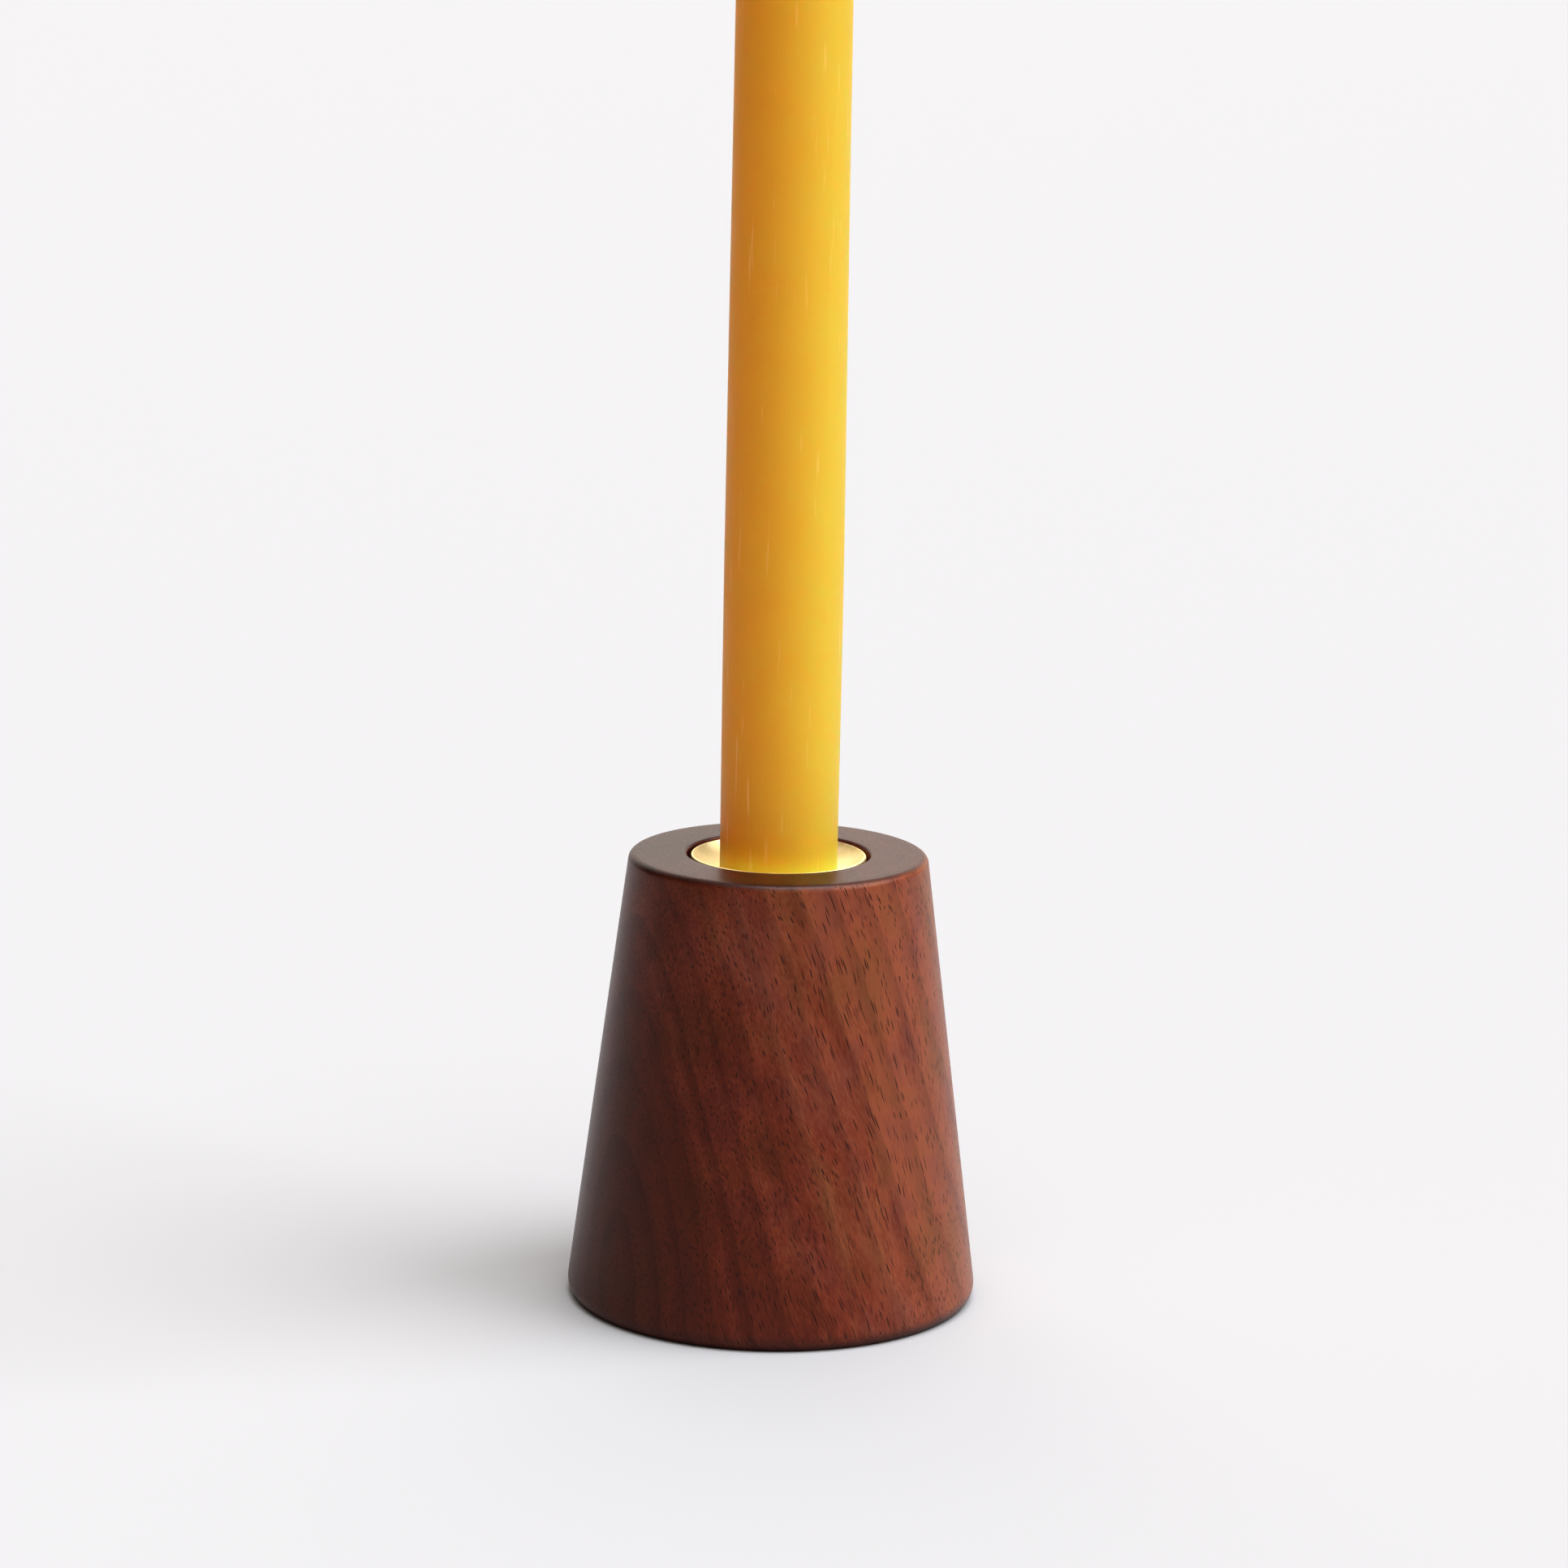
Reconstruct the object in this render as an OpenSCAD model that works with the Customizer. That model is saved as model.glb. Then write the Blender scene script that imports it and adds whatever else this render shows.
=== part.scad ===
// Turned wooden candlestick: a tapered wooden body, a loose brass cup in its top,
// a felt pad let into its foot, and a dinner candle with its wick.
// Millimetres, +Z up, origin at the middle of the face that it stands on.

/* [Wooden body] */
// Diameter at the foot, measured to the sharp corner before rounding
body_base_d = 77.4; // [60:0.1:95]
// Diameter at the top, measured to the sharp corner before rounding
body_top_d = 55.5; // [45:0.1:76]
// Height of the body
body_h = 84.7; // [55:0.1:120]
// Radius that eases the foot's outer corner
foot_round = 3.6; // [0.5:0.1:5]
// How steeply that easing meets the foot's flat face, in degrees
foot_edge = 50; // [30:1:80]
// Radius that eases the top's outer corner
top_round = 1.5; // [0.5:0.1:2.5]
// Radius that eases the corner round the cup's hole
hole_round = 0.6; // [0.2:0.1:1]
// Chamfer that leads the cup's shank into the deeper hole
lead_in = 0.5; // [0.2:0.1:0.8]
// Diameter of the mark that the drill's centre point leaves
drill_point_d = 3; // [1:0.5:5]

/* [Brass cup] */
// Thickness of the wall round the socket
cup_wall = 1.8; // [1.2:0.1:3]
// How far the flange stands out past the shank
flange_lip = 3.2; // [2.4:0.1:6]
// Height of the flange under the rim
flange_h = 5; // [4:0.1:7]
// Flat land on top of the rim, outside the dish
rim_land = 0.4; // [0.4:0.1:1.2]
// How far the rim lies below the wooden top
rim_drop = 0.3; // [0:0.1:1]
// Depth of the dish from the rim to the socket's mouth
dish_depth = 3.2; // [2:0.1:3.8]
// How far the dish's arc turns from its chord at each end, in degrees
dish_bow = 12; // [5:1:20]
// Depth of the socket below the dish
socket_depth = 21; // [15:0.5:26]
// Thickness of the socket's floor
cup_floor = 2.4; // [1.5:0.1:4]
// Radius that eases the corners of the rim and of the socket's mouth
cup_round = 0.3; // [0.1:0.05:0.4]
// Chamfer round the cup's bottom
cup_chamfer = 1; // [0.5:0.1:1.4]
// Width of the relief groove under the flange
relief_w = 1.4; // [0.8:0.1:2]
// Depth of the relief groove under the flange
relief_depth = 0.4; // [0.2:0.1:0.6]

/* [Candle] */
// Largest diameter of the candle, a little above the wood
candle_d = 22.2; // [16:0.1:30]
// How much less the candle measures across at its butt
butt_less = 0.4; // [0:0.1:1.5]
// How much less the candle measures across at its shoulder
shoulder_less = 1.4; // [0:0.1:5]
// Length of the wax from butt to tip
candle_l = 254; // [200:1:300]
// Height of the largest diameter above the butt
belly_h = 82; // [60:1:110]
// Length of the pointed nose
nose_l = 24; // [15:1:35]
// Diameter of the braided wick
wick_d = 2; // [1.2:0.1:3]
// Length of wick that stands out of the tip
wick_free = 11; // [6:0.5:15]

/* [Foot pad] */
// Width of the wooden ring round the pad's recess, to the foot's sharp corner
foot_ring = 8.5; // [5:0.1:14]
// Thickness of the felt pad
pad_t = 1.5; // [1:0.1:3]

/* [Clearances] */
// Gap all round the rim in the wood
rim_gap = 0.75; // [0.2:0.05:1.2]
// Gap all round the cup's shank in the wood
shank_gap = 0.2; // [0.05:0.05:0.5]
// Gap all round the candle's largest diameter in the socket
candle_gap = 0.2; // [0.1:0.05:0.6]
// Air under the cup, so that its flange always seats first
under_gap = 1; // [0.5:0.1:3]
// Gap all round the felt pad in its recess
pad_gap = 0.2; // [0.1:0.05:0.5]

/* [Hidden] */
$fn = 96;
over = 1; // how far a cut runs past the face that it opens
wick_fit = 0.03; // keeps the wick and the wax apart as two solids
swell_steps = 8; // cones in the swell above the butt
nose_steps = 12; // cones in the nose
nose_start = 1.9; // power that makes the nose leave the shoulder gently
nose_end = 0.8; // power that makes the nose close in a point

base_r = body_base_d / 2;
top_r = body_top_d / 2;
lean = atan((base_r - top_r) / body_h); // of the side, from upright
recess_r = base_r - foot_ring;
pad_r = recess_r - pad_gap;
foot_z = foot_round * sin(foot_edge); // height of the easing's centre

candle_r = candle_d / 2;
butt_r = (candle_d - butt_less) / 2;
shoulder_r = (candle_d - shoulder_less) / 2;
wick_r = wick_d / 2;
wick_hole_r = wick_r + wick_fit;

socket_r = candle_r + candle_gap;
shank_r = socket_r + cup_wall;
rim_r = shank_r + flange_lip;
shank_hole_r = shank_r + shank_gap;
seat_r = rim_r + rim_gap;

rim_z = body_h - rim_drop;
mouth_z = rim_z - dish_depth;
floor_z = mouth_z - socket_depth;
seat_z = rim_z - flange_h;
cup_z = floor_z - cup_floor;
hole_z = cup_z - under_gap;

butt_z = floor_z;
tip_z = butt_z + candle_l;
shoulder_z = tip_z - nose_l;

// The dish is a shallow bowl on the arc of a circle, steeper at the rim
dish_top = [rim_r - rim_land, rim_z];
dish_foot = [socket_r + cup_round, mouth_z];
dish_run = dish_top - dish_foot;
dish_slope = atan2(dish_run[1], dish_run[0]);
dish_radius = norm(dish_run) / 2 / sin(dish_bow);
dish_centre = (dish_top + dish_foot) / 2
    + dish_radius * cos(dish_bow) * [-sin(dish_slope), cos(dish_slope)];

// Points on an arc about [x, z] with radius r, from angle a to angle b
function arc(x, z, r, a, b, steps = 8) =
    [for (i = [0:steps]) let (t = a + (b - a) * i / steps) [x + r * cos(t), z + r * sin(t)]];

// Radius of the body's straight side at height z
function side_r(z) = base_r - (base_r - top_r) * z / body_h;

// Distance from the axis of the centre, at height z, of a corner of radius r that touches the side
function corner_x(z, r) = side_r(z) - r / cos(lean);

// Radius of the wax between the butt, s = 0, and its largest diameter, s = 1: a quarter wave
function swell_r(s) = butt_r + (candle_r - butt_r) * sin(90 * s);

// Radius of the nose between the shoulder, s = 0, and the tip, s = 1: a pointed arch
function nose_r(s) = wick_hole_r + (shoulder_r - wick_hole_r) * pow(1 - pow(s, nose_start), nose_end);

// A cylinder cut upwards from height z to height top, and past it
module bore(r, z, top) {
    translate([0, 0, z]) cylinder(r = r, h = top - z + over);
}

// A ring that eases the corner between a hole of radius r and the flat face at height z
module mouth_easing(r, z, ease) {
    rotate_extrude() polygon(concat(
        [[r - over, z + over], [r - over, z - ease]],
        arc(r + ease, z - ease, ease, 180, 90, 6),
        [[r + ease, z + over]]
    ));
}

// The body's outside, with its two eased corners
module body_blank() {
    rotate_extrude() polygon(concat(
        [[0, 0]],
        arc(corner_x(foot_z, foot_round), foot_z, foot_round, -foot_edge, lean),
        arc(corner_x(body_h - top_round, top_round), body_h - top_round, top_round, lean, 90),
        [[0, body_h]]
    ));
}

module wood_body() {
    color("saddlebrown") difference() {
        body_blank();
        bore(seat_r, seat_z, body_h);
        bore(shank_hole_r, hole_z, seat_z);
        mouth_easing(seat_r, body_h, hole_round);
        translate([0, 0, seat_z - lead_in])
            cylinder(r1 = shank_hole_r, r2 = shank_hole_r + lead_in, h = lead_in);
        translate([0, 0, hole_z - drill_point_d / 2])
            cylinder(r1 = 0, r2 = drill_point_d / 2, h = drill_point_d / 2);
        translate([0, 0, -over]) cylinder(r = recess_r, h = pad_t + over);
    }
}

module foot_pad() {
    color("darkslategray") cylinder(r = pad_r, h = pad_t);
}

// The cup's outside, from its bottom round to the dish
module cup_blank() {
    rotate_extrude() polygon(concat(
        [[0, cup_z], [shank_r - cup_chamfer, cup_z], [shank_r, cup_z + cup_chamfer]],
        [[shank_r, seat_z - relief_w], [shank_r - relief_depth, seat_z - relief_w + relief_depth]],
        [[shank_r - relief_depth, seat_z], [rim_r - cup_round, seat_z], [rim_r, seat_z + cup_round]],
        arc(rim_r - cup_round, rim_z - cup_round, cup_round, 0, 90, 4),
        arc(dish_centre[0], dish_centre[1], dish_radius,
            dish_slope - 90 + dish_bow, dish_slope - 90 - dish_bow),
        [[0, mouth_z]]
    ));
}

module candle_cup() {
    color("khaki") difference() {
        cup_blank();
        bore(socket_r, floor_z, mouth_z);
        mouth_easing(socket_r, mouth_z, cup_round);
    }
}

module candle_wax() {
    color("goldenrod") difference() {
        rotate_extrude() polygon(concat(
            [[0, butt_z]],
            [for (i = [0:swell_steps]) let (s = i / swell_steps) [swell_r(s), butt_z + belly_h * s]],
            [for (i = [0:nose_steps]) let (s = i / nose_steps) [nose_r(s), shoulder_z + nose_l * s]],
            [[0, tip_z]]
        ));
        translate([0, 0, butt_z - over]) cylinder(r = wick_hole_r, h = candle_l + 2 * over);
    }
}

module wick() {
    color("ivory") translate([0, 0, butt_z]) cylinder(r = wick_r, h = candle_l + wick_free);
}

wood_body();
foot_pad();
candle_cup();
candle_wax();
wick();
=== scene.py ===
# Turned walnut candlestick: tapered body, loose brass cup, felt pad, beeswax candle and plaited wick.
# Sizes in the dictionaries are millimetres; meshes are written in metres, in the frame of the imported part.
import math

import bpy
import numpy as np
from mathutils import Matrix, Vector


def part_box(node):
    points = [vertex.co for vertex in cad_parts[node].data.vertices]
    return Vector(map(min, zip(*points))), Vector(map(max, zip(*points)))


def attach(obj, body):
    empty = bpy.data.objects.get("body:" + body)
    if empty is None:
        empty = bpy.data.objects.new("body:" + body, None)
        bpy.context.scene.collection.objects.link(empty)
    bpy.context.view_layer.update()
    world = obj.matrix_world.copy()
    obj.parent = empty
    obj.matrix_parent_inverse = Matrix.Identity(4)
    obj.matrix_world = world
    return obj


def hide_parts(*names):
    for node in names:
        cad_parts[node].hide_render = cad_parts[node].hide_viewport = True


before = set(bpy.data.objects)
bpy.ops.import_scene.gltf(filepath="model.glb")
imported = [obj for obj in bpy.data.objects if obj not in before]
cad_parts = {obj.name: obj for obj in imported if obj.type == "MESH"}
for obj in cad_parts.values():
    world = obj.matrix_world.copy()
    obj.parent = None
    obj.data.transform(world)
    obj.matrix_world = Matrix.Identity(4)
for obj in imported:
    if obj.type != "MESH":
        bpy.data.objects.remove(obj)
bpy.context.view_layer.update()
print("frame: " + ", ".join(sorted(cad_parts)))

mm = 0.001
scene = bpy.context.scene


def nodeBox(node):
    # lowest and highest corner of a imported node, in millimetres
    low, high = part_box(node)
    return np.array(low) / mm, np.array(high) / mm


def linear(hexColour):
    # sRGB to linear light: v / 12.92 up to 0.04045, above it ((v + 0.055) / 1.055) ^ 2.4
    v = np.array([int(hexColour[i:i + 2], 16) for i in (1, 3, 5)]) / 255
    light = np.where(v <= 0.04045, v / 12.92, ((v + 0.055) / 1.055) ** 2.4)
    return (*light.tolist(), 1.0)


def addNode(tree, kind, settings=None, inputs=None):
    # one node with its settings; an input given another node's output is linked, any other is a value
    node = tree.nodes.new("ShaderNode" + kind)
    for name, value in (settings or {}).items():
        if name == "stops":
            while len(node.color_ramp.elements) < len(value):
                node.color_ramp.elements.new(0.5)
            for element, (place, colour) in zip(node.color_ramp.elements, value):
                element.position = place
                element.color = linear(colour) if isinstance(colour, str) else (colour, colour, colour, 1)
        else:
            setattr(node, name, value)
    for name, value in (inputs or {}).items():
        if isinstance(value, bpy.types.NodeSocket):
            tree.links.new(value, node.inputs[name])
        else:
            node.inputs[name].default_value = value
    return node


def newMaterial(name):
    material = bpy.data.materials.new(name)
    material.use_nodes = True
    material.node_tree.nodes.clear()
    return material, material.node_tree


def arc(x, z, radius, start, end, steps=8):
    # points on a circle about (x, z): x + r cos a, z + r sin a, for a from start to end in degrees
    a = np.radians(np.linspace(start, end, steps + 1))
    return np.stack([x + radius * np.cos(a), z + radius * np.sin(a)], 1)


def outline(*stretches, step=1.5):
    # joins the stretches, and cuts each straight run into pieces no longer than step
    points = np.concatenate([np.atleast_2d(np.array(s, float)) for s in stretches])
    runs = []
    for a, b in zip(points[:-1], points[1:]):
        count = max(1, int(np.ceil(np.linalg.norm(b - a) / step)))
        runs.append(a + (b - a) * (np.arange(count) / count)[:, None])
    return np.concatenate(runs + [points[-1:]])


def gridFaces(rows, columns, loop=False, poles=False, start=0):
    # quads of a grid whose columns close on themselves; loop closes the rows too, and poles adds
    # a fan at each end to the two points that follow the grid
    index = start + np.arange(rows * columns).reshape(rows, columns)
    first, last = index[:1], index[-1:]
    if loop:
        index = np.concatenate([index, first])
    low, high = index[:-1], index[1:]
    faces = np.stack([low, np.roll(low, -1, 1), np.roll(high, -1, 1), high], -1).reshape(-1, 4).tolist()
    if poles:
        pole = np.full_like(first, start + rows * columns)
        faces += np.stack([pole, np.roll(first, -1, 1), first], -1).reshape(-1, 3).tolist()
        faces += np.stack([last, np.roll(last, -1, 1), pole + 1], -1).reshape(-1, 3).tolist()
    return faces


def turned(name, profile, columns, loop=False, swell=None):
    # a profile of (radius, height) turned about Z: x = r cos a, y = r sin a, z = height, with swell(a, z, r)
    # added to r. Without loop the profile starts and ends on the axis.
    rings = profile if loop else profile[1:-1]
    a = np.linspace(0, 2 * np.pi, columns, endpoint=False)[None, :]
    r, z = rings[:, :1] + 0 * a, rings[:, 1:] + 0 * a
    if swell is not None:
        r = r + swell(a, z, r)
    points = np.stack([r * np.cos(a), r * np.sin(a), z], -1).reshape(-1, 3)
    if not loop:
        points = np.concatenate([points, [[0, 0, profile[0, 1]], [0, 0, profile[-1, 1]]]])
    mesh = bpy.data.meshes.new(name)
    mesh.from_pydata((points * mm).tolist(), [], gridFaces(len(rings), columns, loop, not loop))
    return mesh


def addPiece(mesh, material, body, node, sharpAngle=40):
    # shades the mesh smooth but for edges over sharpAngle, ties it to its body and hides the imported node it
    # replaces
    piece = bpy.data.objects.new(mesh.name, mesh)
    scene.collection.objects.link(piece)
    mesh.materials.append(material)
    mesh.polygons.foreach_set("use_smooth", np.ones(len(mesh.polygons), bool))
    mesh.set_sharp_from_angle(angle=math.radians(sharpAngle))
    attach(piece, body)
    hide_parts(node)
    print(f"{mesh.name}: {len(mesh.vertices)} points, {len(mesh.polygons)} faces")
    return piece


# camera: a long lens on a low stand, looking slightly down, rolled a little to the left
view = {
    "distance": 881.1, "height": 282.6, "pitch": 11.85, "yaw": 0.049, "roll": 1.085, "lens": 111.6,
    "near": 50, "far": 50000,
}

cameraData = bpy.data.cameras.new("camera")
cameraData.lens = view["lens"]
cameraData.clip_start, cameraData.clip_end = view["near"] * mm, view["far"] * mm
camera = bpy.data.objects.new("camera", cameraData)
camera.matrix_world = (
    Matrix.Translation((0, -view["distance"] * mm, view["height"] * mm))
    @ Matrix.Rotation(math.radians(-view["yaw"]), 4, "Z")
    @ Matrix.Rotation(math.radians(90 - view["pitch"]), 4, "X")
    @ Matrix.Rotation(math.radians(view["roll"]), 4, "Z")
)
scene.collection.objects.link(camera)
scene.camera = camera

# studio: pale paper on the ground, a window to the right and a skylight overhead, with soft glows above and
# behind for the satin surfaces to mirror; a lamp's strength is the light on a card held square to it, and
# its angle is how wide it looks, which softens the shadow
studio = {
    "paper": "#ababac", "paperRadius": 14000, "paperSides": 64,
    "seen": "#f3f3f4", "room": "#fff6ec", "gamma": 0.8,
    "window": {"azimuth": 84, "elevation": 42, "angle": 50, "strength": 2.7, "colour": "#f9fbff"},
    "skylight": {"azimuth": 40, "elevation": 78, "angle": 40, "strength": 2.4, "colour": "#ebf3ff"},
    "glows": [
        {"azimuth": 28, "elevation": 64, "inner": 8, "outer": 58, "radiance": 1.8},
        {"azimuth": 190, "elevation": 55, "inner": 10, "outer": 50, "radiance": 1.1},
        {"azimuth": 180, "elevation": 8, "inner": 16, "outer": 55, "radiance": 1.35},
    ],
}

scene.view_settings.view_transform = "Standard"
scene.view_settings.gamma = studio["gamma"]
paper, tree = newMaterial("paperSheet")
shader = addNode(tree, "BsdfPrincipled", inputs={
    "Base Color": linear(studio["paper"]), "Roughness": 0.9, "Specular IOR Level": 0.1})
addNode(tree, "OutputMaterial", inputs={"Surface": shader.outputs[0]})
floorMesh = bpy.data.meshes.new("paperFloor")
a = np.linspace(0, 2 * np.pi, studio["paperSides"], endpoint=False)
rim = np.stack([np.cos(a), np.sin(a), 0 * a], 1) * studio["paperRadius"] * mm
floorMesh.from_pydata(rim.tolist(), [], [list(range(len(rim)))])
floorMesh.materials.append(paper)
floor = bpy.data.objects.new("paperFloor", floorMesh)
scene.collection.objects.link(floor)


def aimed(azimuth, elevation):
    # a light's turn: azimuth is counted from the camera side towards +X, elevation up from the floor
    swing = Matrix.Rotation(math.radians(azimuth), 4, "Z")
    return swing @ Matrix.Rotation(math.radians(90 - elevation), 4, "X")


for name in ("window", "skylight"):
    lamp = bpy.data.lights.new(name, "SUN")
    lamp.energy = studio[name]["strength"]
    lamp.angle = math.radians(studio[name]["angle"])
    lamp.color = linear(studio[name]["colour"])[:3]
    lampObject = bpy.data.objects.new(name, lamp)
    lampObject.matrix_world = aimed(studio[name]["azimuth"], studio[name]["elevation"])
    scene.collection.objects.link(lampObject)

world = bpy.data.worlds.new("room")
scene.world = world
world.use_nodes = True
tree = world.node_tree
tree.nodes.clear()
ray = addNode(tree, "TexCoord").outputs["Generated"]
total = 0.0
for glow in studio["glows"]:
    # full inside the inner angle from the glow's middle, and gone at the outer one
    middle = tuple(aimed(glow["azimuth"], glow["elevation"]).col[2][:3])
    near = addNode(tree, "VectorMath", {"operation": "DOT_PRODUCT"}, {0: ray, 1: middle})
    shine = addNode(tree, "MapRange", {"interpolation_type": "SMOOTHSTEP"}, {
        "Value": near.outputs["Value"], "To Min": 0.0, "To Max": glow["radiance"],
        "From Min": math.cos(math.radians(glow["outer"])), "From Max": math.cos(math.radians(glow["inner"]))})
    total = addNode(tree, "Math", {"operation": "ADD"}, {0: shine.outputs[0], 1: total}).outputs[0]
room = addNode(tree, "Background", inputs={"Color": linear(studio["room"]), "Strength": total})
seen = addNode(tree, "Background", inputs={"Color": linear(studio["seen"]), "Strength": 1.0})
path = addNode(tree, "LightPath")
choice = addNode(tree, "MixShader", inputs={
    0: path.outputs["Is Camera Ray"], 1: room.outputs[0], 2: seen.outputs[0]})
addNode(tree, "OutputWorld", inputs={"Surface": choice.outputs[0]})
print("camera, paper and lights")

# wooden body
bodyTop = nodeBox("wood_body")[1][2]
wood = {
    "baseDiameter": 77.4, "topDiameter": 55.5, "footRound": 3.6, "footEdge": 50, "topRound": 1.5,
    "holeRadius": 17.05, "holeRound": 0.6, "seatDepth": 5.3,
    "shankHoleRadius": 13.3, "shankHoleDepth": 27.9, "leadIn": 0.5, "drillPoint": 1.5,
    "recessRadius": 30.2, "recessDepth": 1.5, "columns": 192,
}


def woodProfile(d, height):
    # up the leaning side, radius = base - (base - top) z / height, with an arc where it meets each face,
    # then over the top and down the two steps of the hole
    base, top = d["baseDiameter"] / 2, d["topDiameter"] / 2
    lean = math.degrees(math.atan((base - top) / height))

    def cornerX(z, r):
        # distance from the axis of an arc's centre at height z, so that the arc touches the side
        return base - (base - top) * z / height - r / math.cos(math.radians(lean))

    foot, edge, hole = d["footRound"], d["topRound"], d["holeRound"]
    footZ = foot * math.sin(math.radians(d["footEdge"]))  # height of the foot's arc's centre
    seat, shank, floor = height - d["seatDepth"], d["shankHoleRadius"], height - d["shankHoleDepth"]
    return outline(
        [[0, d["recessDepth"]], [d["recessRadius"], d["recessDepth"]], [d["recessRadius"], 0]],
        arc(cornerX(footZ, foot), footZ, foot, -d["footEdge"], lean, 10),
        arc(cornerX(height - edge, edge), height - edge, edge, lean, 90, 10),
        arc(d["holeRadius"] + hole, height - hole, hole, 90, 180, 8),
        [[d["holeRadius"], seat], [shank + d["leadIn"], seat], [shank, seat - d["leadIn"]], [shank, floor]],
        [[d["drillPoint"], floor], [0, floor - d["drillPoint"]]],
    )


# Walnut, turned and sanded fine, then oiled: red-brown heartwood that shades across the block from olive and
# purple near the pith, on the -X side, to orange away from it, with faint bands along the rings, short
# flecks, open dark pores that run with the fibres, and a low satin sheen. The change across the block is
# partly the wood's own colour and partly painted shade, darker on the side turned away from the window. The
# pores are all drawn 0.2 mm wide, as the largest real ones are, so that they show.
grain = {
    "fibreTurn": (-1.83, 19.33, 0.0),  # degrees that stand the leaning fibres upright
    "pith": (23.5, 23.7, 0.0),  # moves the tree's centre line to the origin
    "shades": [(0.10, "#5a2d1e"), (0.34, "#5c2b1c"), (0.50, "#662f1e"), (0.68, "#783c29"), (0.95, "#8c553d")],
    # painted shade: part of the change from dark to light across the block stands for the shade on the side
    # away from the window, the rest is the wood's own colour
    "toneAndPaintedShadeFrom": -12.0, "toneAndPaintedShadeTo": 62.0,  # across the block, from the dark side to the light one
    "warp": 5.0, "warpSize": 40.0,
    "cloudWidth": 7.0, "cloudLength": 20.0, "cloudPart": 0.75,
    "bandWidth": 3.2, "bandPart": 0.30,
    "ringWidth": 5.5, "ringPart": 0.60,
    "fleckWidth": 0.35, "fleckLength": 1.6, "fleckPart": 0.60,
    "hueWidth": 8.0, "hueLength": 13.0,
    "hues": [(0.36, "#f0efdc"), (0.5, "#fff2ec"), (0.64, "#efe3f1")],  # olive, red-brown, purple
    "lateWood": [(0.0, 1.0), (0.4, 1.0), (0.86, 0.66), (0.95, 0.7), (1.0, 1.0)],  # shade along one ring
    "poreSpacing": 0.37, "poreLength": 6.0, "poreDepth": 0.08, "poreColour": "#2e120b",
    "poreCore": 0.20, "poreEdge": 0.37,  # shares of the spacing, from a pore's middle line
    "fleckRelief": 0.15,  # of a pore's depth
    "endGrain": "#7a6663", "dullest": 0.36, "glossiest": 0.28,
}


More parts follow.
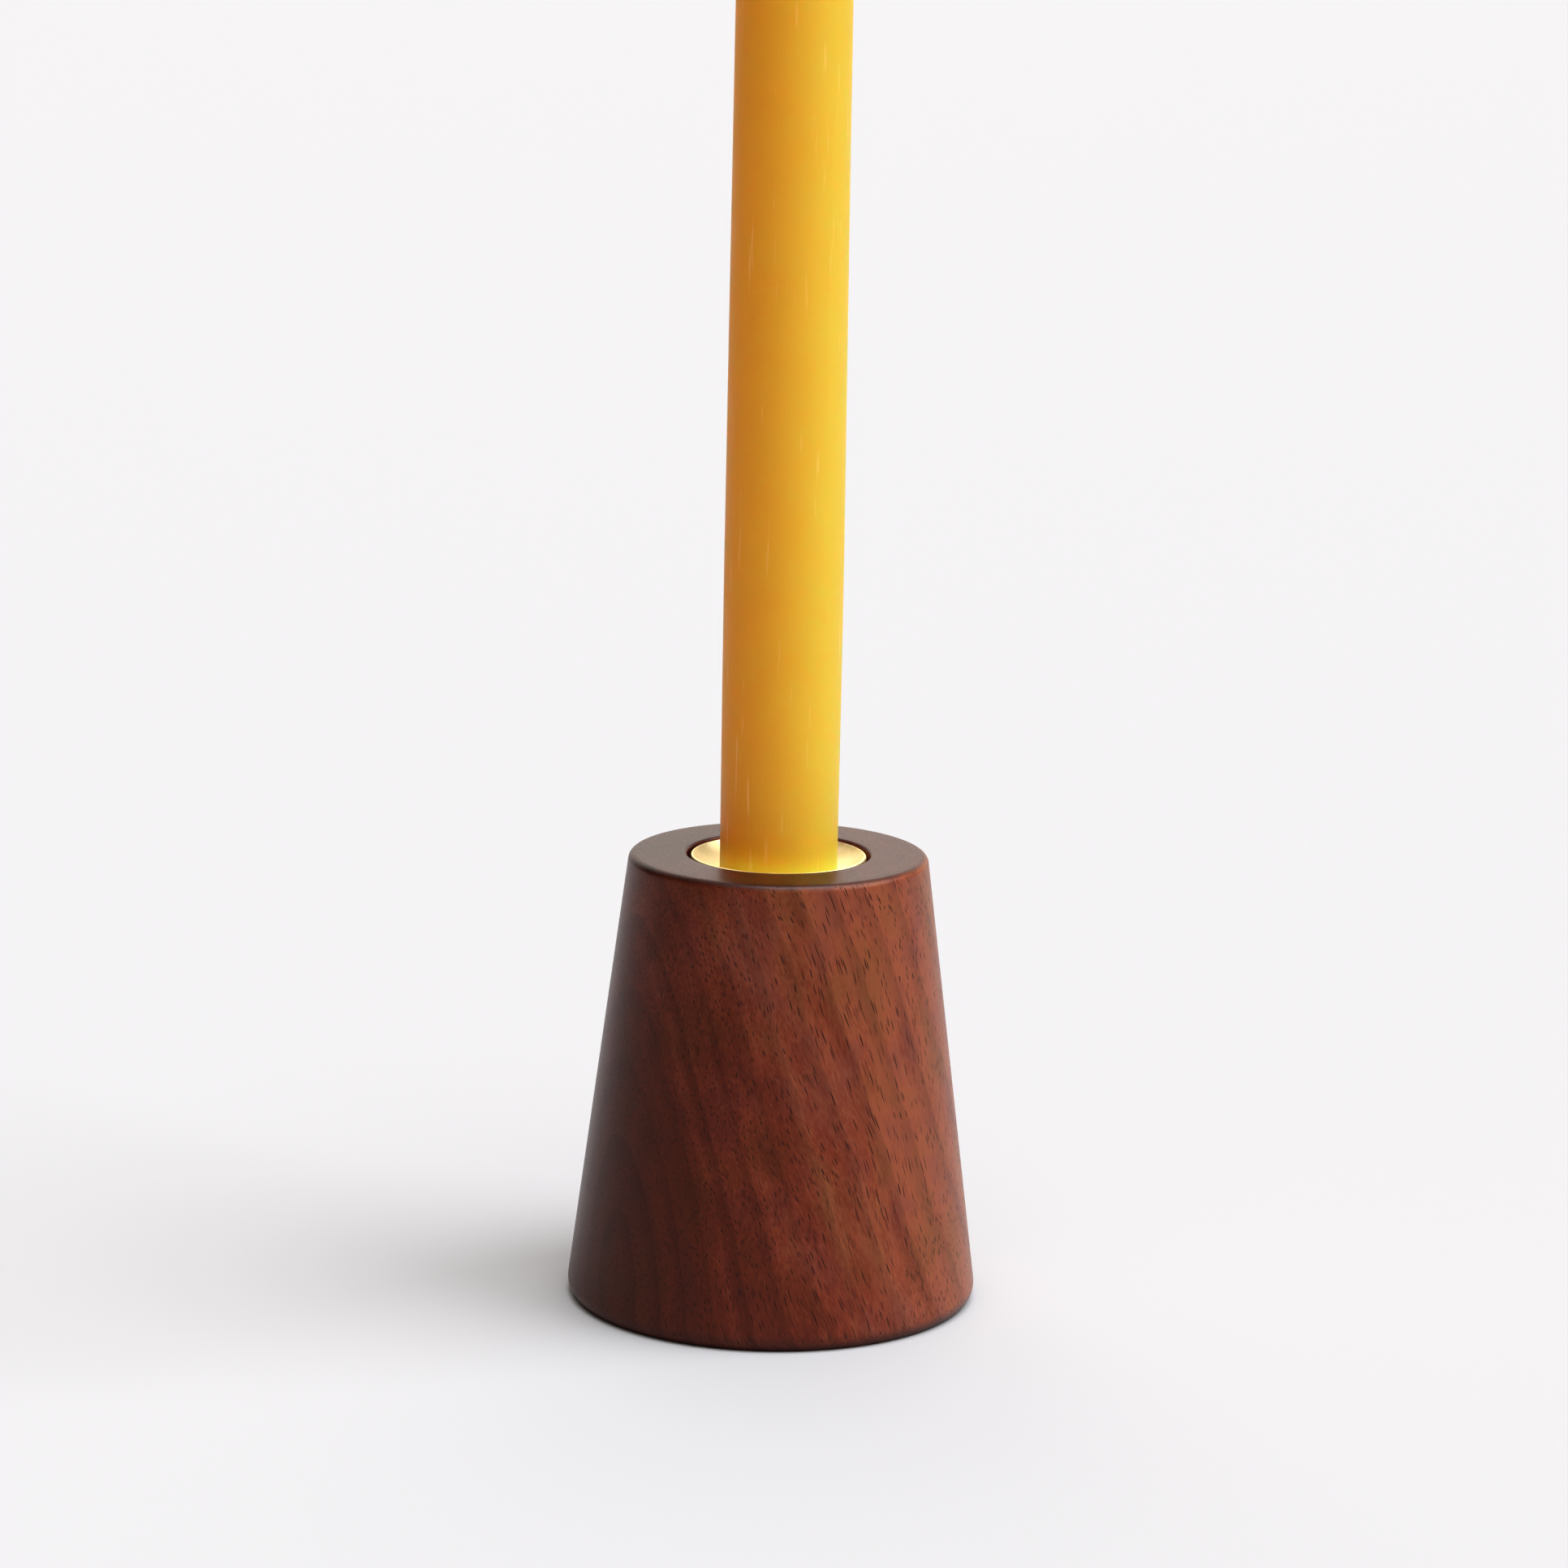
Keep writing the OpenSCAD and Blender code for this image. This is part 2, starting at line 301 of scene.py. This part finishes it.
def walnutMaterial(g):
    material, tree = newMaterial("oiledWalnut")
    place = addNode(tree, "TexCoord").outputs["Object"]
    upright = addNode(tree, "Mapping", inputs={
        "Vector": place, "Scale": (1 / mm,) * 3, "Location": g["pith"],
        "Rotation": tuple(math.radians(v) for v in g["fibreTurn"])}).outputs[0]
    # slow wandering of the fibres
    wander = addNode(tree, "TexNoise", inputs={"Vector": upright, "Scale": 1 / g["warpSize"], "Detail": 2.0})
    centred = addNode(tree, "VectorMath", {"operation": "SUBTRACT"}, {
        0: wander.outputs["Color"], 1: (0.5,) * 3})
    shifted = addNode(tree, "VectorMath", {"operation": "MULTIPLY_ADD"}, {
        0: centred.outputs[0], 1: (g["warp"],) * 3, 2: upright}).outputs[0]
    # distance from the pith, across the fibres
    flat = addNode(tree, "VectorMath", {"operation": "MULTIPLY"}, {0: shifted, 1: (1, 1, 0)})
    radius = addNode(tree, "VectorMath", {"operation": "LENGTH"}, {0: flat.outputs[0]}).outputs["Value"]

    def stretched(width, length):
        # coordinates in which a patch width across and length along the fibres is one unit each way
        return addNode(tree, "VectorMath", {"operation": "MULTIPLY"}, {
            0: shifted, 1: (1 / width, 1 / width, 1 / length)}).outputs[0]

    # the shade is a sum: across the block, partly the wood's colour and partly painted shade darker on the
    # side away from the window, plus clouds, ring bands and flecks, each about its middle
    across = addNode(tree, "SeparateXYZ", inputs={0: shifted}).outputs["X"]
    shade = addNode(tree, "MapRange", inputs={
        "Value": across, "From Min": g["toneAndPaintedShadeFrom"], "From Max": g["toneAndPaintedShadeTo"]}).outputs[0]
    cloud = addNode(tree, "TexNoise", inputs={
        "Vector": stretched(g["cloudWidth"], g["cloudLength"]), "Scale": 1.0,
        "Detail": 3.0, "Roughness": 0.55})
    band = addNode(tree, "TexNoise", {"noise_dimensions": "1D"}, {
        "W": radius, "Scale": 1 / g["bandWidth"], "Detail": 2.5, "Roughness": 0.6})
    fleck = addNode(tree, "TexNoise", inputs={
        "Vector": stretched(g["fleckWidth"], g["fleckLength"]), "Scale": 1.0,
        "Detail": 2.5, "Roughness": 0.65})
    for noise, part in ((cloud, g["cloudPart"]), (band, g["bandPart"]), (fleck, g["fleckPart"])):
        offset = addNode(tree, "Math", {"operation": "MULTIPLY_ADD"}, {
            0: noise.outputs[0], 1: part, 2: -part / 2})
        shade = addNode(tree, "Math", {"operation": "ADD"}, {0: shade, 1: offset.outputs[0]}).outputs[0]
    # heartwood colour, darkened by painted shade on the side away from the window
    heartwoodAndPaintedShade = addNode(tree, "ValToRGB", {"stops": g["shades"]}, {0: shade})
    # hue drifts between olive and purple
    drift = addNode(tree, "TexNoise", inputs={
        "Vector": stretched(g["hueWidth"], g["hueLength"]), "Scale": 1.0, "Detail": 3.0})
    hue = addNode(tree, "ValToRGB", {"stops": g["hues"]}, {0: drift.outputs[0]})
    tinted = addNode(tree, "Mix", {"data_type": "RGBA", "blend_type": "MULTIPLY"}, {
        0: 1.0, 6: heartwoodAndPaintedShade.outputs[0], 7: hue.outputs[0]})
    # the dark late growth at the end of each ring
    turn = addNode(tree, "Math", {"operation": "DIVIDE"}, {0: radius, 1: g["ringWidth"]})
    part = addNode(tree, "Math", {"operation": "FRACT"}, {0: turn.outputs[0]})
    late = addNode(tree, "ValToRGB", {"stops": g["lateWood"]}, {0: part.outputs[0]})
    ringed = addNode(tree, "Mix", {"data_type": "RGBA", "blend_type": "MULTIPLY"}, {
        0: g["ringPart"], 6: tinted.outputs[2], 7: late.outputs[0]})
    # where the surface cuts across the fibres it drinks more oil and turns darker
    facing = addNode(tree, "Mapping", {"vector_type": "NORMAL"}, {
        "Vector": addNode(tree, "TexCoord").outputs["Normal"],
        "Rotation": tuple(math.radians(v) for v in g["fibreTurn"])})
    crossing = addNode(tree, "SeparateXYZ", inputs={0: facing.outputs[0]})
    openness = addNode(tree, "Math", {"operation": "ABSOLUTE"}, {0: crossing.outputs["Z"]})
    endPart = addNode(tree, "MapRange", {"interpolation_type": "SMOOTHSTEP"}, {
        "Value": openness.outputs[0], "From Min": 0.2, "From Max": 0.9})
    darkened = addNode(tree, "Mix", {"data_type": "RGBA", "blend_type": "MULTIPLY"}, {
        0: endPart.outputs[0], 6: ringed.outputs[2], 7: linear(g["endGrain"])})
    # pores: long thin cells, dark near each one's middle line, some deeper than others
    cell = addNode(tree, "TexVoronoi", inputs={
        "Vector": stretched(g["poreSpacing"], g["poreLength"]), "Scale": 1.0})
    pore = addNode(tree, "MapRange", {"interpolation_type": "SMOOTHSTEP"}, {
        "Value": cell.outputs["Distance"], "From Min": g["poreCore"], "From Max": g["poreEdge"],
        "To Min": 1.0, "To Max": 0.0})
    chance = addNode(tree, "SeparateColor", inputs={0: cell.outputs["Color"]})
    strong = addNode(tree, "MapRange", inputs={
        "Value": chance.outputs[0], "From Min": 0.1, "From Max": 0.9, "To Min": 0.1, "To Max": 1.0})
    pored = addNode(tree, "Math", {"operation": "MULTIPLY"}, {0: pore.outputs[0], 1: strong.outputs[0]})
    colour = addNode(tree, "Mix", {"data_type": "RGBA"}, {
        0: pored.outputs[0], 6: darkened.outputs[2], 7: linear(g["poreColour"])})
    rough = addNode(tree, "MapRange", inputs={
        "Value": fleck.outputs[0], "From Min": 0.3, "From Max": 0.7,
        "To Min": g["dullest"], "To Max": g["glossiest"]})
    sunk = addNode(tree, "Math", {"operation": "MULTIPLY"}, {0: fleck.outputs[0], 1: g["fleckRelief"]})
    depth = addNode(tree, "Math", {"operation": "SUBTRACT"}, {0: sunk.outputs[0], 1: pored.outputs[0]})
    bump = addNode(tree, "Bump", inputs={
        "Strength": 0.6, "Distance": g["poreDepth"] * mm, "Height": depth.outputs[0]})
    shader = addNode(tree, "BsdfPrincipled", inputs={
        "Base Color": colour.outputs[2], "Roughness": rough.outputs[0], "Normal": bump.outputs[0],
        "IOR": 1.5, "Specular IOR Level": 0.25})
    addNode(tree, "OutputMaterial", inputs={"Surface": shader.outputs[0]})
    return material


woodMesh = turned("walnutBody", woodProfile(wood, bodyTop), wood["columns"])
addPiece(woodMesh, walnutMaterial(grain), "body", "wood_body")

# brass cup
cupLow, cupHigh = nodeBox("candle_cup")
cup = {
    "rimRadius": 16.3, "rimLand": 0.4, "flangeHeight": 5.0, "dishDepth": 3.2, "dishBow": 12.0,
    "socketRadius": 11.3, "socketDepth": 21.0, "shankRadius": 13.1, "round": 0.3, "chamfer": 1.0,
    "reliefWidth": 1.4, "reliefDepth": 0.4, "columns": 192,
}


def cupProfile(d, low, high):
    # out over the bottom, up the shank and flange, then down the dish and the socket; the dish is an arc
    # through its rim and its foot whose ends turn dishBow degrees from the straight line between them
    rim, shank, socket, ease = d["rimRadius"], d["shankRadius"], d["socketRadius"], d["round"]
    seat, mouth = high - d["flangeHeight"], high - d["dishDepth"]
    top, foot = np.array([rim - d["rimLand"], high]), np.array([socket + ease, mouth])
    run = top - foot
    slope, bow = math.degrees(math.atan2(run[1], run[0])), d["dishBow"]
    radius = np.hypot(*run) / 2 / math.sin(math.radians(bow))
    up = np.array([-math.sin(math.radians(slope)), math.cos(math.radians(slope))])
    centre = (top + foot) / 2 + radius * math.cos(math.radians(bow)) * up
    relief = seat - d["reliefWidth"]
    return outline(
        [[0, low], [shank - d["chamfer"], low], [shank, low + d["chamfer"]], [shank, relief]],
        [[shank - d["reliefDepth"], relief + d["reliefDepth"]], [shank - d["reliefDepth"], seat]],
        [[rim - ease, seat], [rim, seat + ease]],
        arc(rim - ease, high - ease, ease, 0, 90, 6),
        arc(*centre, radius, slope - 90 + bow, slope - 90 - bow, 24),
        arc(socket + ease, mouth - ease, ease, 90, 180, 6),
        [[socket, mouth - d["socketDepth"]], [0, mouth - d["socketDepth"]]],
        step=1.0,
    )


# Brass, turned and rubbed with fine cloth, unlacquered: pale yellow metal with a satin blur, faint rings
# from the tool, and cloudy smears where it was handled. The real marks are 0.05 mm apart; these are
# drawn 0.25 mm apart so that they show.
finish = {
    "markPitch": 0.25, "markDepth": 0.004, "smearSize": 2.6,
    "tones": [(0.33, "#ebd89b"), (0.5, "#f2e2b0"), (0.67, "#f5e9c1")],
    "rubbed": 0.36, "smeared": 0.5,  # roughness
}


def brassMaterial(f):
    material, tree = newMaterial("turnedBrass")
    place = addNode(tree, "TexCoord").outputs["Object"]
    scaled = addNode(tree, "VectorMath", {"operation": "SCALE"}, {0: place, "Scale": 1 / mm}).outputs[0]
    smear = addNode(tree, "TexNoise", inputs={
        "Vector": scaled, "Scale": 1 / f["smearSize"], "Detail": 4.0, "Roughness": 0.6, "Distortion": 1.0})
    colour = addNode(tree, "ValToRGB", {"stops": f["tones"]}, {0: smear.outputs[0]})
    rough = addNode(tree, "MapRange", inputs={
        "Value": smear.outputs[0], "From Min": 0.35, "From Max": 0.65,
        "To Min": f["rubbed"], "To Max": f["smeared"]})
    # rings about the axis: a wave of the distance from it plus the height, so that every face has them
    flat = addNode(tree, "VectorMath", {"operation": "MULTIPLY"}, {0: scaled, 1: (1, 1, 0)})
    radius = addNode(tree, "VectorMath", {"operation": "LENGTH"}, {0: flat.outputs[0]})
    height = addNode(tree, "SeparateXYZ", inputs={0: scaled}).outputs["Z"]
    along = addNode(tree, "Math", {"operation": "ADD"}, {0: radius.outputs["Value"], 1: height})
    marks = addNode(tree, "TexNoise", {"noise_dimensions": "1D"}, {
        "W": along.outputs[0], "Scale": 1 / f["markPitch"], "Detail": 2.0})
    bump = addNode(tree, "Bump", inputs={
        "Strength": 0.5, "Distance": f["markDepth"] * mm, "Height": marks.outputs[0]})
    shader = addNode(tree, "BsdfPrincipled", inputs={
        "Base Color": colour.outputs[0], "Metallic": 1.0, "Roughness": rough.outputs[0],
        "Normal": bump.outputs[0]})
    addNode(tree, "OutputMaterial", inputs={"Surface": shader.outputs[0]})
    return material


cupMesh = turned("brassCup", cupProfile(cup, cupLow[2], cupHigh[2]), cup["columns"])
addPiece(cupMesh, brassMaterial(finish), "cup", "candle_cup")

# candle
waxLow, waxHigh = nodeBox("candle_wax")
candle = {
    "diameter": 22.2, "buttDiameter": 21.8, "shoulderDiameter": 20.8, "belly": 82.0, "nose": 24.0,
    "wickHole": 1.03, "buttRound": 0.6, "noseStart": 1.9, "noseEnd": 0.8, "columns": 240,
    "waveHeight": 0.0225, "waveInset": 2.1,
    "waves": [(1.0, 2, 37.0, 0.0), (0.6, 3, -23.0, 1.0)],  # size, waves round, mm up for a radian, phase
    "rings": 0.2, "ringLength": 9.0, "ringTilt": 2.0,
    "ridge": 0.035, "ridgeAt": 46.0, "ridgeSpread": 4.69,  # degrees, counted from the camera side
    "ridgeSway": 0.06, "swayLength": 40.0, "ridgeFrom": 120.0, "ridgeTo": 180.0,
    "fadeFrom": 2.0, "fadeTo": 8.0,  # radii between which the swell grows to its full size
}


def waxProfile(d, low, high):
    # a quarter sine from the butt to the largest diameter, a straight taper to the shoulder, then a pointed
    # arch, radius = hole + (shoulder - hole) (1 - t^noseStart)^noseEnd, and back down the wick's hole
    butt, most, shoulder = d["buttDiameter"] / 2, d["diameter"] / 2, d["shoulderDiameter"] / 2
    hole, ease = d["wickHole"], d["buttRound"]
    s = np.linspace(0, 1, 50)[1:, None]
    swell = np.hstack([butt + (most - butt) * np.sin(s * np.pi / 2), low + d["belly"] * s])
    t = np.linspace(0, 1, 33)[:, None]
    reach = (1 - t ** d["noseStart"]) ** d["noseEnd"]
    nose = np.hstack([hole + (shoulder - hole) * reach, high - d["nose"] + d["nose"] * t])
    points = outline([[hole, low]], arc(butt - ease, low + ease, ease, -90, 0, 5), swell, nose, [[hole, low]],
                     step=1.4)
    return points[:-1]  # the loop closes on its first point


def waxSwell(a, z, r):
    # dipped wax is never quite round: waves, size sin(count a + z / length + phase), with rings up the
    # candle, sin(z / length + tilt sin a), and a fine raised run down one side, a bell curve of the angle;
    # all of it stays inside the turned outline
    d = candle
    wave = sum(size * np.sin(count * a + z / length + phase) for size, count, length, phase in d["waves"])
    wave = wave + d["rings"] * np.sin(z / d["ringLength"] + d["ringTilt"] * np.sin(a))
    middle = 1.5 * np.pi + math.radians(d["ridgeAt"]) + d["ridgeSway"] * np.sin(z / d["swayLength"])
    off = (a - middle + np.pi) % (2 * np.pi) - np.pi
    grown = np.clip((z - d["ridgeFrom"]) / (d["ridgeTo"] - d["ridgeFrom"]), 0, 1)
    run = np.exp(-(off / math.radians(d["ridgeSpread"])) ** 2) * grown
    outer = np.clip((r - d["fadeFrom"]) / (d["fadeTo"] - d["fadeFrom"]), 0, 1)
    return (d["waveHeight"] * (wave - d["waveInset"]) + d["ridge"] * (run - 1)) * outer


# Beeswax, dipped: light goes in and comes out again warmer, so the shaded side glows amber and never
# goes black, with a soft sheen, slow cloudy tones and a few pale streaks of bloom. The colour runs from a
# deeper amber on the -X side to a paler yellow on the +X side: painted shade on the side away from the
# window and painted light on the side facing it.
waxLook = {
    "depth": 26.0, "cloudSize": 9.0, "cloudPart": 0.5, "bloomWidth": 1.1, "bloomLength": 16.0,
    "tones": [(0.05, "#d39d20"), (0.5, "#d4ab2f"), (0.95, "#ceb63e")],
    # painted shade and light: across the candle from deep amber on the side away from the window to pale on
    # the lit side
    "paintedShadeFrom": -11.0, "paintedShadeTo": 11.0,  # across the candle, from the deep side to the pale one
    "reach": (1.0, 0.02, 0.01),  # how far red, green and blue light travel, as shares of the depth
    "bloom": "#f6d896", "bloomPart": 0.3, "relief": 0.02, "glossiest": 0.4, "dullest": 0.52,
}


def beeswaxMaterial(w):
    material, tree = newMaterial("dippedBeeswax")
    place = addNode(tree, "TexCoord").outputs["Object"]
    scaled = addNode(tree, "VectorMath", {"operation": "SCALE"}, {0: place, "Scale": 1 / mm}).outputs[0]
    cloud = addNode(tree, "TexNoise", inputs={
        "Vector": scaled, "Scale": 1 / w["cloudSize"], "Detail": 5.0, "Roughness": 0.62})
    # painted shade and light: the colour goes deep amber towards -X, away from the window, and pale towards
    # the lit +X side
    across = addNode(tree, "SeparateXYZ", inputs={0: scaled}).outputs["X"]
    side = addNode(tree, "MapRange", inputs={
        "Value": across, "From Min": w["paintedShadeFrom"], "From Max": w["paintedShadeTo"]})
    mottle = addNode(tree, "Math", {"operation": "MULTIPLY_ADD"}, {
        0: cloud.outputs[0], 1: w["cloudPart"], 2: -w["cloudPart"] / 2})
    tone = addNode(tree, "Math", {"operation": "ADD"}, {0: side.outputs[0], 1: mottle.outputs[0]})
    body = addNode(tree, "ValToRGB", {"stops": w["tones"]}, {0: tone.outputs[0]})
    slim = addNode(tree, "VectorMath", {"operation": "MULTIPLY"}, {
        0: scaled, 1: (1 / w["bloomWidth"], 1 / w["bloomWidth"], 1 / w["bloomLength"])})
    bloom = addNode(tree, "TexNoise", inputs={"Vector": slim.outputs[0], "Scale": 1.0, "Detail": 3.0})
    streak = addNode(tree, "MapRange", {"interpolation_type": "SMOOTHSTEP"}, {
        "Value": bloom.outputs[0], "From Min": 0.62, "From Max": 0.78,
        "To Min": 0.0, "To Max": w["bloomPart"]})
    colour = addNode(tree, "Mix", {"data_type": "RGBA"}, {
        0: streak.outputs[0], 6: body.outputs[0], 7: linear(w["bloom"])})
    rough = addNode(tree, "MapRange", inputs={
        "Value": cloud.outputs[0], "From Min": 0.3, "From Max": 0.7,
        "To Min": w["glossiest"], "To Max": w["dullest"]})
    bump = addNode(tree, "Bump", inputs={
        "Strength": 0.3, "Distance": w["relief"] * mm, "Height": cloud.outputs[0]})
    shader = addNode(tree, "BsdfPrincipled", {"subsurface_method": "BURLEY"}, {
        "Base Color": colour.outputs[2], "Roughness": rough.outputs[0], "Normal": bump.outputs[0],
        "IOR": 1.44, "Specular IOR Level": 0.45, "Subsurface Weight": 1.0, "Subsurface Radius": w["reach"],
        "Subsurface Scale": w["depth"] * mm})
    addNode(tree, "OutputMaterial", inputs={"Surface": shader.outputs[0]})
    return material


waxOutline = waxProfile(candle, waxLow[2], waxHigh[2])
waxMesh = turned("beeswaxCandle", waxOutline, candle["columns"], loop=True, swell=waxSwell)
addPiece(waxMesh, beeswaxMaterial(waxLook), "candle", "candle_wax")

# wick
wickLow, wickHigh = nodeBox("wick")
wick = {
    "strands": 3, "strandRadius": 0.44, "sway": 0.52, "cross": 0.30, "plait": 4.2,
    "sides": 10, "step": 0.3, "endBulge": 0.5,
}


def plaitedWick(name, d, low, high):
    # each strand's middle line: x = sway sin t, y = cross sin 2t, z rises one plait length each turn of t,
    # the strands a third of a turn apart; round it a circle square to the line
    z = np.arange(low + d["strandRadius"], high - d["strandRadius"], d["step"])
    side = np.linspace(0, 2 * np.pi, d["sides"], endpoint=False)[None, :, None]
    points, faces = [], []
    for strand in range(d["strands"]):
        t = 2 * np.pi * (z / d["plait"] + strand / d["strands"])
        line = np.stack([d["sway"] * np.sin(t), d["cross"] * np.sin(2 * t), z], 1)
        along = np.gradient(line, axis=0)
        along /= np.linalg.norm(along, axis=1, keepdims=True)
        across = np.cross([0, 1, 0], along)
        across /= np.linalg.norm(across, axis=1, keepdims=True)
        third = np.cross(along, across)
        tube = line[:, None] + d["strandRadius"] * (
            np.cos(side) * across[:, None] + np.sin(side) * third[:, None])
        ends = line[[0, -1]] + along[[0, -1]] * d["strandRadius"] * d["endBulge"] * np.array([[-1], [1]])
        start = sum(len(p) for p in points)
        faces += gridFaces(len(z), d["sides"], poles=True, start=start)
        points += [tube.reshape(-1, 3), ends]
    mesh = bpy.data.meshes.new(name)
    mesh.from_pydata((np.concatenate(points) * mm).tolist(), [], faces)
    return mesh


# Cotton yarn, plaited and primed with wax: cream threads, slightly glossy where the wax has soaked in.
yarn = {
    "threadScale": 1.6,  # 0.4 mm from thread to thread along an axis
    "relief": 0.04, "tones": [(0.0, "#cdbb8e"), (1.0, "#eee3c4")],
}


def cottonMaterial(y):
    material, tree = newMaterial("waxedCotton")
    place = addNode(tree, "TexCoord").outputs["Object"]
    scaled = addNode(tree, "VectorMath", {"operation": "SCALE"}, {0: place, "Scale": 1 / mm}).outputs[0]
    thread = addNode(tree, "TexWave", {"wave_type": "BANDS", "bands_direction": "DIAGONAL"}, {
        "Vector": scaled, "Scale": y["threadScale"], "Distortion": 1.5, "Detail": 2.0})
    colour = addNode(tree, "ValToRGB", {"stops": y["tones"]}, {0: thread.outputs[0]})
    bump = addNode(tree, "Bump", inputs={
        "Strength": 0.6, "Distance": y["relief"] * mm, "Height": thread.outputs[0]})
    shader = addNode(tree, "BsdfPrincipled", inputs={
        "Base Color": colour.outputs[0], "Roughness": 0.7, "Normal": bump.outputs[0], "IOR": 1.45})
    addNode(tree, "OutputMaterial", inputs={"Surface": shader.outputs[0]})
    return material


wickMesh = plaitedWick("plaitedWick", wick, wickLow[2], wickHigh[2])
addPiece(wickMesh, cottonMaterial(yarn), "candle", "wick", sharpAngle=80)

# felt pad
padLow, padHigh = nodeBox("foot_pad")
padRadius = padHigh[0]
pad = {"round": 0.35, "columns": 160, "lump": 0.12, "lumpWidth": 1.0, "lumpCounts": (7, 17)}


def padProfile(d, low, high, radius):
    # a flat disc whose two edges are eased by small arcs
    ease = d["round"]
    return outline([[0, low]], arc(radius - ease, low + ease, ease, -90, 0, 4),
                   arc(radius - ease, high - ease, ease, 0, 90, 4), [[0, high]], step=1.2)


def padSwell(a, z, r):
    # the cut edge wavers inwards by up to the lump: the mean of two sines of the angle, raised above zero
    slow, fast = pad["lumpCounts"]
    waver = (2 + np.sin(slow * a) + np.sin(fast * a + 1)) / 4
    return -pad["lump"] * waver * (r > padRadius - pad["lumpWidth"])


# Wool felt, pressed and punched from sheet: matted dark brown fibres, no gloss.
felt = {"tuftsPerMm": 2.2, "relief": 0.15, "tones": [(0.3, "#2b2320"), (0.7, "#57493f")]}


def feltMaterial(f):
    material, tree = newMaterial("pressedFelt")
    place = addNode(tree, "TexCoord").outputs["Object"]
    scaled = addNode(tree, "VectorMath", {"operation": "SCALE"}, {0: place, "Scale": 1 / mm}).outputs[0]
    matted = addNode(tree, "TexNoise", inputs={
        "Vector": scaled, "Scale": f["tuftsPerMm"], "Detail": 6.0, "Roughness": 0.75, "Distortion": 2.0})
    colour = addNode(tree, "ValToRGB", {"stops": f["tones"]}, {0: matted.outputs[0]})
    bump = addNode(tree, "Bump", inputs={
        "Strength": 0.8, "Distance": f["relief"] * mm, "Height": matted.outputs[0]})
    shader = addNode(tree, "BsdfPrincipled", inputs={
        "Base Color": colour.outputs[0], "Roughness": 0.95, "Normal": bump.outputs[0],
        "Sheen Weight": 0.4, "Sheen Roughness": 0.5})
    addNode(tree, "OutputMaterial", inputs={"Surface": shader.outputs[0]})
    return material


padOutline = padProfile(pad, padLow[2], padHigh[2], padRadius)
padMesh = turned("feltPad", padOutline, pad["columns"], swell=padSwell)
padPiece = addPiece(padMesh, feltMaterial(felt), "body", "foot_pad")
